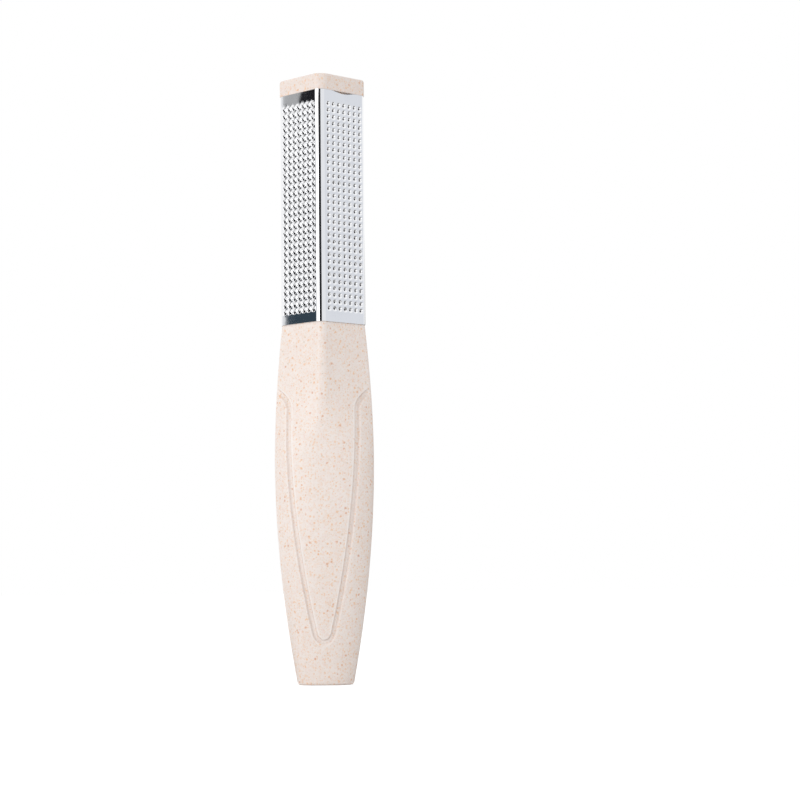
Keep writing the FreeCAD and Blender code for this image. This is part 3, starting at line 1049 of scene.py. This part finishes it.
@dataclass
class AbrasiveStrip:
    """The black abrasive strip, stuck on a little crooked, and the film under it."""

    section: HeadSection
    width: float = 19.3
    near_y: float = 3.8
    thickness: float = 0.5
    end_gap: float = 0.15
    tilt: float = 0.4
    grain: float = 0.3
    jitter: float = 0.4
    relief: float = 0.1
    fray: float = 0.16
    end_fray: float = 0.4
    seed: int = 5

    def lay(self, side: Array, depth: Array, height: Array) -> Array:
        """Points of the straight strip, turned to its crooked place.

        Args:
            side: their way across from the strip's middle.
            depth: their Y.
            height: their way up from the strip's middle.

        Returns:
            The points in X, Y and Z.
        """
        turn = math.radians(self.tilt)
        middle = (self.section.top + self.section.bottom) / 2
        x = side * math.cos(turn) + height * math.sin(turn)
        z = height * math.cos(turn) - side * math.sin(turn)
        return np.stack([x, depth, z + middle], axis=-1)

    def build(self, finish: GritPaper, film: TapeFilm) -> None:
        """Make and install the strip, and dress the film's own node.

        Args:
            finish: the strip's finish.
            film: the film's finish.
        """
        chance = np.random.default_rng(self.seed)
        length = self.section.top - self.section.bottom - 2 * self.end_gap
        across, up = np.meshgrid(*(
            np.linspace(-size / 2, size / 2, round(size / self.grain) + 1)
            for size in (self.width, length)
        ))
        jitter = chance.uniform(-self.jitter, self.jitter, (2, *across.shape)) * self.grain
        inside = np.ones_like(across)
        inside[[0, -1]] = 0
        inside[:, [0, -1]] = 0
        fray = chance.uniform(0, self.fray, across.shape) * (1 - inside)
        across_top = across + jitter[0] * inside - np.sign(across) * fray
        up_top = up + jitter[1] * inside - np.sign(up) * fray * self.end_fray
        sunk = self.relief * chance.uniform(0, 1, across.shape) ** 2
        skin = Skin()
        depth = self.near_y + self.thickness - sunk
        top = skin.grid(self.lay(across_top, depth, up_top), flip=True)
        under = skin.add(self.lay(across, np.full(across.shape, self.near_y), up))
        loops = [
            np.concatenate([grid[0, :-1], grid[:-1, -1], grid[-1, :0:-1], grid[:0:-1, 0]])
            for grid in (top, under)
        ]
        skin.weave(np.array(loops), closed=True, flip=True)
        skin.cover([under[0, 0], under[0, -1], under[-1, -1], under[-1, 0]])
        strip = skin.piece("grit_strip", finish.material(), 60)
        install(strip, "abrasive_strip")
        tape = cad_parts["adhesive_tape"]
        tape.data.materials.clear()
        tape.data.materials.append(film.material())
        LOG.info("adhesive_tape: dressed in film")


@dataclass(frozen=True)
class HandleForm:
    """The handle's outer form; sizes in threes are those at the neck, the belly and the butt."""

    length: float = 132.5
    belly_drop: float = 50.0
    widths: Trio = (30.6, 36.6, 20.4)
    fronts: Trio = (13.1, 12.4, 6.4)
    backs: Trio = (4.6, 5.6, 4.6)
    upper_curve: float = 1.84
    lower_curve: float = 1.94
    ridge_hold: float = 19.0
    ridge_fade: float = 32.0
    oval_power: float = 2.1
    back_power: float = 4.0
    setback: float = 0.3
    samples: int = 1201

    def along(self, drop: Array, sizes: Trio) -> Array:
        """A size that runs from the neck through the belly to the butt.

        Args:
            drop: the distance below the junction.
            sizes: the size at the neck, the belly and the butt.

        Returns:
            The size at each distance.
        """
        neck, belly, butt = sizes
        rise = np.clip(1 - drop / self.belly_drop, 0, 1) ** self.upper_curve
        share = np.clip((drop - self.belly_drop) / (self.length - self.belly_drop), 0, 1)
        lower = belly - (belly - butt) * share ** self.lower_curve
        return np.where(drop < self.belly_drop, belly - (belly - neck) * rise, lower)

    def half_width(self, drop: Array) -> Array:
        """Half the handle's width at a distance below the junction."""
        return self.along(drop, self.widths) / 2

    def depth(self, drop: Array, half: Half) -> Array:
        """How far the handle reaches from the side seam to the front or the back."""
        return self.along(drop, self.fronts if half is Half.FRONT else self.backs)

    def oval(self, power: float, share: Array) -> Array:
        """A rounded outline of unit size, from the right side to the left."""
        angle = math.pi * share
        across = np.sign(np.cos(angle)) * np.abs(np.cos(angle)) ** (2 / power)
        return np.column_stack([across, np.clip(np.sin(angle), 0, None) ** (2 / power)])

    def neck(self, section: HeadSection, share: Array) -> Array:
        """The head's V, drawn in by the setback, of unit size.

        Args:
            section: the head's section.
            share: the share of the way from the right side to the left.

        Returns:
            The points in X and Y.
        """
        ridge_radius = section.ridge_radius - self.setback
        side_radius = section.side_radius - self.setback
        ridge_arc = ridge_radius * section.face_angle
        flat_end = ridge_arc + section.face_length
        total = flat_end + side_radius * (math.pi / 2 - section.face_angle)
        way = np.abs(1 - 2 * share) * total
        side_way = (way - ridge_arc - section.face_length) / side_radius
        outer = np.select(
            [way < ridge_arc, way < flat_end],
            [way / ridge_radius * section.ridge_radius, way - ridge_arc + section.face_start],
            section.face_end + side_way * section.side_radius,
        )
        points = section.place(np.where(share <= 0.5, outer, -outer), 0.0, -self.setback)
        return points[:, :2] / np.array([self.widths[0] / 2, -self.fronts[0]])

    def outline(
        self, section: HeadSection, drop: float, inset: float, half: Half, columns: int
    ) -> Array:
        """One half of a section, evenly spaced along its outline.

        Args:
            section: the head's section.
            drop: the distance below the junction.
            inset: how far the outline is drawn in.
            half: the shell.
            columns: the number of points.

        Returns:
            The points in X and Y, from the right seam to the left.
        """
        share = (1 - np.cos(np.linspace(0, math.pi, self.samples))) / 2
        share = (share + (1 - np.cos(math.pi * share)) / 2) / 2
        if half is Half.FRONT:
            fade = soft_step(np.array((drop - self.ridge_hold) / self.ridge_fade))
            neck = self.neck(section, share)
            unit = neck + (self.oval(self.oval_power, share) - neck) * fade
        else:
            unit = self.oval(self.back_power, share)
        place = np.array(drop)
        deep = half.value * (self.depth(place, half) - inset)
        points = unit * np.array([self.half_width(place) - inset, deep])
        way = np.concatenate([[0], np.cumsum(np.linalg.norm(np.diff(points, axis=0), axis=1))])
        even = np.linspace(0, way[-1], columns)
        return np.column_stack([np.interp(even, way, line) for line in points.T])


@dataclass(frozen=True)
class Groove:
    """The groove that outlines a tongue on the handle, by its centre line seen from the front."""

    form: HandleForm
    shoulder_margin: float
    margin_power: float
    tip_half: float
    tip_to_butt: float
    tip_length: float
    tip_power: float
    depth: float = 0.7
    start: float = 26.2
    lead_length: float = 8.5
    lead_power: float = 2.0
    lead_over: float = 0.12
    start_margin: float = 0.3
    inner_wall: Pair = (-1.05, -0.66)
    outer_wall: Pair = (0.62, 1.05)
    reach: float = 2.0
    lead_points: int = 270
    run_points: int = 1100
    tip_points: int = 160

    @property
    def shoulder(self) -> float:
        """Where the groove has turned to run along the handle."""
        return self.start + self.lead_length

    @property
    def end(self) -> float:
        """The tip's lowest point."""
        return self.form.length - self.tip_to_butt

    @property
    def tip_start(self) -> float:
        """Where the long sides end."""
        return self.end - self.tip_length

    def half(self, drop: Array) -> Array:
        """Half the tongue's width at a distance below the junction, from the shoulder down."""
        tip_margin = self.form.half_width(np.array(self.tip_start)) - self.tip_half
        share = np.clip((drop - self.shoulder) / (self.tip_start - self.shoulder), 0, None)
        more = (tip_margin - self.shoulder_margin) * share ** self.margin_power
        return self.form.half_width(drop) - (self.shoulder_margin + more)

    def centre_line(self) -> Array:
        """The right half of the centre line, X and drop, from the handle's side to the tip."""
        share = np.linspace(-self.lead_over, 1, self.lead_points)
        lead_drop = self.start + self.lead_length * share
        way_in = 1 - (1 - share) ** self.lead_power
        margin = self.start_margin + (self.shoulder_margin - self.start_margin) * way_in
        lead = np.column_stack([self.form.half_width(lead_drop) - margin, lead_drop])
        run_drop = np.linspace(self.shoulder, self.tip_start, self.run_points)[1:]
        run = np.column_stack([self.half(run_drop), run_drop])
        tip_angle = np.linspace(0, math.pi / 2, self.tip_points)[1:]
        tip_drop = self.tip_start + self.tip_length * np.sin(tip_angle) ** (2 / self.tip_power)
        tip_x = self.half(tip_drop) * np.clip(np.cos(tip_angle), 0, None) ** (2 / self.tip_power)
        return np.vstack([lead, run, np.column_stack([tip_x, tip_drop])])

    def gaps(self, across: Array, drop: Array) -> Array:
        """How far points of the handle are from the centre line; outside the tongue is above 0.

        Args:
            across: the points' X.
            drop: the points' distance below the junction.

        Returns:
            The distances, with a large one wherever the groove is out of reach.
        """
        line = self.centre_line()
        heading = np.gradient(line, axis=0)
        tree = kdtree.KDTree(len(line))
        for number, (x, d) in enumerate(line):
            tree.insert((x, d, 0.0), number)
        tree.balance()
        gaps = np.full(across.size, FAR)
        for number, (x, d) in enumerate(zip(np.abs(across).ravel(), drop.ravel())):
            if d < line[0, 1] - self.reach or d > self.end + self.reach:
                continue
            _, nearest, away = tree.find((x, d, 0.0))
            if away > self.reach:
                continue
            aim = heading[nearest]
            outside = aim[1] * (x - line[nearest, 0]) - aim[0] * (d - line[nearest, 1])
            gaps[number] = away if outside > 0 else -away
        return gaps.reshape(across.shape)

    def sink(self, gaps: Array) -> Array:
        """How deep the groove is at distances from its centre line."""
        inner = (gaps - self.inner_wall[0]) / (self.inner_wall[1] - self.inner_wall[0])
        outer = (self.outer_wall[1] - gaps) / (self.outer_wall[1] - self.outer_wall[0])
        return self.depth * soft_step(inner) * soft_step(outer)

    def edge_light_and_foot_shade(self, gaps: Array) -> Array:
        """Painted highlight along the groove's edges (above 0) and painted shade at its foot (below
        0).
        """
        inner_edge_light = mound(gaps, self.inner_wall[0] - 0.15, 0.36)
        outer_edge_light = mound(gaps, self.outer_wall[1] + 0.12, 0.3) * 0.7
        foot_shade = mound(gaps, self.outer_wall[0], 0.4) + mound(gaps, self.inner_wall[1], 0.25)
        return inner_edge_light + outer_edge_light - foot_shade


@dataclass(frozen=True)
class Scoop:
    """The shallow thumb scoop in the handle's back."""

    form: HandleForm
    groove: Groove
    start: float = 8.0
    deepest: float = 62.0
    depth: float = 1.5
    start_depth: float = 0.08
    end_depth: float = 0.25
    end_gap: float = 2.2
    end_over: float = 0.4
    end_fade: float = 2.6
    rim: float = 2.7
    least_half: float = 0.5
    fade: float = 7.0

    def level(self, across: Array, drop: Array, surface: Array) -> Array:
        """The back's Y with the scoop taken out.

        Args:
            across: the points' X.
            drop: the points' distance below the junction.
            surface: the points' Y without the scoop.

        Returns:
            The points' Y.
        """
        end = self.groove.end - self.end_gap
        upper = soft_step((drop - self.start) / (self.deepest - self.start))
        lower = soft_step((end - drop) / (end - self.deepest))
        depth = np.where(
            drop < self.deepest,
            self.start_depth + (self.depth - self.start_depth) * upper,
            self.end_depth + (self.depth - self.end_depth) * lower,
        )
        half = self.groove.half(np.maximum(drop, self.groove.shoulder)) - self.rim
        half = np.maximum(half, self.least_half)
        share = np.clip(half / self.form.half_width(drop), 0, 1) ** self.form.back_power
        brim = self.form.depth(drop, Half.BACK) * (1 - share) ** (1 / self.form.back_power)
        radius = (half ** 2 + depth ** 2) / (2 * depth)
        inside = np.clip(radius ** 2 - across ** 2, 0, None)
        trough = brim - depth + radius - np.sqrt(inside)
        near_end = soft_step((end + self.end_over - drop) / self.end_fade)
        ends = soft_step((drop - self.start) / self.fade) * near_end
        cut = np.clip(surface - trough, 0, None) * (np.abs(across) < half)
        return surface - cut * ends


@dataclass
class Handle:
    """The two shells of the handle, with their grooves and the thumb scoop."""

    section: HeadSection
    form: HandleForm = field(default_factory=HandleForm)
    columns: int = 321
    row_step: float = 0.4
    fine_step: float = 0.2
    fine_zones: tuple[Pair, Pair] = ((22.5, 38.0), (108.0, 123.0))
    last_row: float = 0.3
    neck_edge: float = 0.22
    neck_steps: int = 4
    butt_edge: float = 1.0
    butt_steps: int = 8
    seam: float = 0.08
    run_out: float = 2.2
    wall: float = 2.2

    def grooves(self) -> dict[Half, Groove]:
        """The grooves of the front and the back."""
        return {
            Half.FRONT: Groove(
                self.form, shoulder_margin=5.25, margin_power=1.35, tip_half=3.4, tip_to_butt=15.5,
                tip_length=3.2, tip_power=2.0, start=24.6, lead_length=7.6,
            ),
            Half.BACK: Groove(
                self.form, shoulder_margin=5.8, margin_power=1.0, tip_half=5.8, tip_to_butt=11.8,
                tip_length=1.8, tip_power=2.6,
            ),
        }

    def stations(self) -> list[Pair]:
        """Distances below the junction with the outline's inset there, from the top to the butt."""
        neck = [math.pi / 2 * step / self.neck_steps for step in range(self.neck_steps)]
        edge = self.neck_edge
        stations = [(edge * (1 - math.cos(angle)), edge * (1 - math.sin(angle))) for angle in neck]
        drop = self.neck_edge
        while drop < self.form.length - self.butt_edge - self.last_row:
            stations.append((drop, 0.0))
            fine = any(low < drop < high for low, high in self.fine_zones)
            drop += self.fine_step if fine else self.row_step
        return stations + edge_round(self.form.length, self.butt_edge, self.butt_steps)

    def shell(self, half: Half, groove: Groove) -> Skin:
        """One shell's skin, with its seam rim and its ends.

        Args:
            half: the shell.
            groove: the groove on it.

        Returns:
            The skin.
        """
        form, front = self.form, half is Half.FRONT
        points = np.array([
            raised(form.outline(self.section, drop, inset, half, self.columns), form.length - drop)
            for drop, inset in self.stations()
        ])
        normal = np.cross(np.gradient(points, axis=0), np.gradient(points, axis=1)) * half.value
        normal /= np.linalg.norm(normal, axis=-1, keepdims=True) + LEAST
        across = points[..., 0].copy()
        drop = form.length - points[..., 2]
        gaps = groove.gaps(across, drop)
        run_out = soft_step((form.half_width(drop) - np.abs(across)) / self.run_out)
        points = points - normal * (groove.sink(gaps) * run_out)[..., None]
        if not front:
            points[..., 1] = Scoop(form, groove).level(points[..., 0], drop, points[..., 1])
        points[:, 0, 0] -= self.seam
        points[:, -1, 0] += self.seam
        skin = Skin()
        # Painted highlight along the grooves' edges and painted shade at their foot
        numbers = skin.add(points, groove.edge_light_and_foot_shade(gaps) * run_out)
        skin.weave(numbers, flip=front)
        skin.cover(numbers[0], flip=front)
        skin.cover(numbers[-1], flip=not front)
        for column, sign in ((0, 1), (-1, -1)):
            rim = points[:, column]
            inner = rim - np.array([sign * self.wall, 0.0, 0.0])
            skin.grid(np.array([rim, inner]), flip=(sign > 0) is front)
        return skin

    def build(self, finishes: Mapping[Half, SpeckledPlastic]) -> None:
        """Make and install both shells."""
        for half, groove in self.grooves().items():
            name = half.name.lower()
            skin = self.shell(half, groove)
            piece = skin.piece(f"moulded_{name}_shell", finishes[half].material(), 70)
            install(piece, f"handle_{name}_shell")


# Studio


@dataclass
class PhotoCamera:
    """The camera at the photograph's place: a little below the middle, looking slightly up."""

    aim: Trio = (28.2, 0.0, 104.3)
    distance: float = 738.0
    pitch: float = 5.2
    yaw: float = 1.0
    roll: float = -0.6
    lens: float = 89.6
    sensor: float = 36.0
    clip_start: float = 0.01

    def build(self) -> None:
        """Make the camera and set it as the scene's."""
        data = bpy.data.cameras.new("photo_camera")
        data.lens = self.lens
        data.sensor_width = self.sensor
        data.clip_start = self.clip_start
        camera = bpy.data.objects.new("photo_camera", data)
        tilt = math.radians(90 + self.pitch)
        turn = Euler((tilt, 0.0, math.radians(self.yaw)), "XYZ").to_matrix()
        roll = Euler((0.0, 0.0, math.radians(self.roll)), "XYZ").to_matrix()
        camera.rotation_euler = (turn @ roll).to_euler()
        camera.location = Vector(self.aim) * MM + turn @ Vector((0.0, 0.0, self.distance * MM))
        bpy.context.scene.collection.objects.link(camera)
        bpy.context.scene.camera = camera
        LOG.info("photo_camera: placed")


def upright(first: Pair, last: Pair, low: float, high: float) -> tuple[Trio, ...]:
    """The corners of an upright card between two places in X and Y."""
    return ((*first, low), (*last, low), (*last, high), (*first, high))


def level(height: float, *places: Pair) -> tuple[Trio, ...]:
    """The corners of a level card."""
    return tuple((*place, height) for place in places)


# What the bright steel mirrors besides white: each card's name, tone and corners in millimetres
MIRRORED_CARDS: tuple[tuple[str, Colour, tuple[Trio, ...]], ...] = (
    ("front_card", (0.03, 0.03, 0.032), upright((-400, -700), (62, -700), 205, 410)),
    ("left_card", (0.014, 0.014, 0.017), upright((-350, -72), (-350, -27), 190, 335)),
    ("low_left_card", (0.036, 0.056, 0.075), upright((-350, -72), (-350, -27), 160, 190)),
    ("pale_left_card", (0.78, 0.79, 0.8), upright((-350, -27), (-350, 10), 150, 335)),
    (
        "high_left_card",
        (0.42, 0.425, 0.43),
        ((-348, -34.4, 297.5), (-348, -26, 296.5), (-348, -26, 325), (-348, -41, 325)),
    ),
    ("right_card", (0.745, 0.765, 0.805), upright((500, -290), (500, 20), -10, 700)),
    ("front_right_card", (0.84, 0.85, 0.87), upright((90, -700), (500, -290), -10, 430)),
    (
        "floor_left_card",
        (0.01, 0.01, 0.011),
        level(1, (120, -480), (70, 130), (-340, 80), (-420, -480)),
    ),
    (
        "floor_right_card",
        (0.28, 0.275, 0.27),
        level(1, (90, -50), (900, -700), (1500, 1400), (-350, 1100)),
    ),
    ("behind_card", (0.32, 0.315, 0.31), upright((-300, 1100), (1500, 1100), 0, 360)),
    (
        "overhead_card",
        (0.36, 0.355, 0.345),
        level(720, (-760, -640), (-90, -640), (-90, -60), (-760, -60)),
    ),
)


@dataclass
class Studio:
    """A white room and floor, a soft light at the left, and cards that only mirrors show."""

    ambient: float = 0.855
    key_radiance: float = 1.62
    key_size: float = 1.1
    key_place: Trio = (-0.84, -1.0, 0.3)
    key_aim: Trio = (0.0, 0.0, 0.13)
    floor_half: float = 6000.0
    floor_drop: float = 0.02
    floor_albedo: float = 0.8
    floor_lift: float = 0.45
    card_rays: tuple[str, ...] = ("camera", "diffuse", "shadow", "transmission", "volume_scatter")

    def world(self) -> None:
        """White to the camera and in mirrors, softer as a light."""
        world = bpy.data.worlds.new("white_room")
        world.use_nodes = True
        recipe = Recipe(world.node_tree)
        path = recipe.node("ShaderNodeLightPath", {}, {})
        seen = path["Is Camera Ray"] + path["Is Glossy Ray"] + path["Is Transmission Ray"]
        strength = recipe.between(seen, 0.0, 1.0, self.ambient, 1.0)
        shader = recipe.node("ShaderNodeBackground", {}, {"Color": WHITE, "Strength": strength})
        recipe.surface(shader["Background"])
        bpy.context.scene.world = world

    def flat(
        self, name: str, corners: Sequence[Trio], material: bpy.types.Material
    ) -> bpy.types.Object:
        """One flat face of the stage.

        Args:
            name: its name.
            corners: its corners in millimetres.
            material: its finish.

        Returns:
            The object.
        """
        skin = Skin()
        skin.cover(skin.add(np.array(corners, float)))
        face = skin.piece(name, material, 30)
        return face

    def floor(self) -> None:
        """A wide pale floor that keeps the shadow and reads white."""
        material, recipe = new_recipe("white_floor")
        path = recipe.node("ShaderNodeLightPath", {}, {})
        seen = recipe.between(path["Is Camera Ray"] + path["Is Glossy Ray"], 0.0, 1.0)
        albedo = (self.floor_albedo,) * 3
        matte = recipe.node("ShaderNodeBsdfDiffuse", {}, {"Color": albedo})["BSDF"]
        light = {"Color": WHITE, "Strength": seen * self.floor_lift}
        glow = recipe.node("ShaderNodeEmission", {}, light)["Emission"]
        recipe.surface(recipe.node("ShaderNodeAddShader", {}, {0: matte, 1: glow})["Shader"])
        far = self.floor_half
        corners = level(0.0, (-far, -far), (far, -far), (far, far), (-far, far))
        self.flat("white_floor", corners, material).location.z = -self.floor_drop * MM

    def card(self, name: str, tone: Colour, corners: Sequence[Trio]) -> None:
        """A flat card that only mirrors show.

        Args:
            name: the card's name.
            tone: its colour and brightness.
            corners: its four corners in millimetres.
        """
        material, recipe = new_recipe(name)
        glow = recipe.node("ShaderNodeEmission", {}, {"Color": tone, "Strength": 1.0})
        recipe.surface(glow["Emission"])
        card = self.flat(name, corners, material)
        for ray in self.card_rays:
            setattr(card, f"visible_{ray}", False)

    def lamp(self) -> None:
        """The large soft light at the front left."""
        data = bpy.data.lights.new("soft_key", "AREA")
        data.shape = "SQUARE"
        data.size = self.key_size
        data.energy = self.key_radiance * math.pi * self.key_size ** 2
        lamp = bpy.data.objects.new("soft_key", data)
        lamp.location = self.key_place
        heading = Vector(self.key_aim) - lamp.location
        lamp.rotation_euler = heading.to_track_quat("-Z", "Y").to_euler()
        lamp.visible_camera = False
        bpy.context.scene.collection.objects.link(lamp)

    def build(self) -> None:
        """Set up the studio."""
        bpy.context.scene.view_settings.view_transform = "Standard"
        self.world()
        self.floor()
        self.lamp()
        for name, tone, corners in MIRRORED_CARDS:
            self.card(name, tone, corners)
        LOG.info("studio: ready")


def main() -> None:
    """Build every piece in order and report it."""
    logging.basicConfig(level=logging.INFO, format="%(message)s")
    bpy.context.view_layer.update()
    PhotoCamera().build()
    Studio().build()
    section = HeadSection()
    RaspPlate(section).build(PolishedSteel("polished_steel"))
    BladeCore(section).build(SpeckledPlastic("core_plastic", 3.0))
    # The cap's plastic is the handle's made darker, as painted shade
    cap_painted_shade = {"base": (0.82, 0.715, 0.66), "pale": (0.85, 0.77, 0.725)}
    EndCap(section).build(SpeckledPlastic("cap_plastic", 2.0, **cap_painted_shade))
    AbrasiveStrip(section).build(GritPaper("black_grit"), TapeFilm("tape_film"))
    Handle(section).build({
        Half.FRONT: SpeckledPlastic("front_shell_plastic", 1.0),
        Half.BACK: SpeckledPlastic("back_shell_plastic", 4.0),
    })


if __name__ == "__main__":
    main()
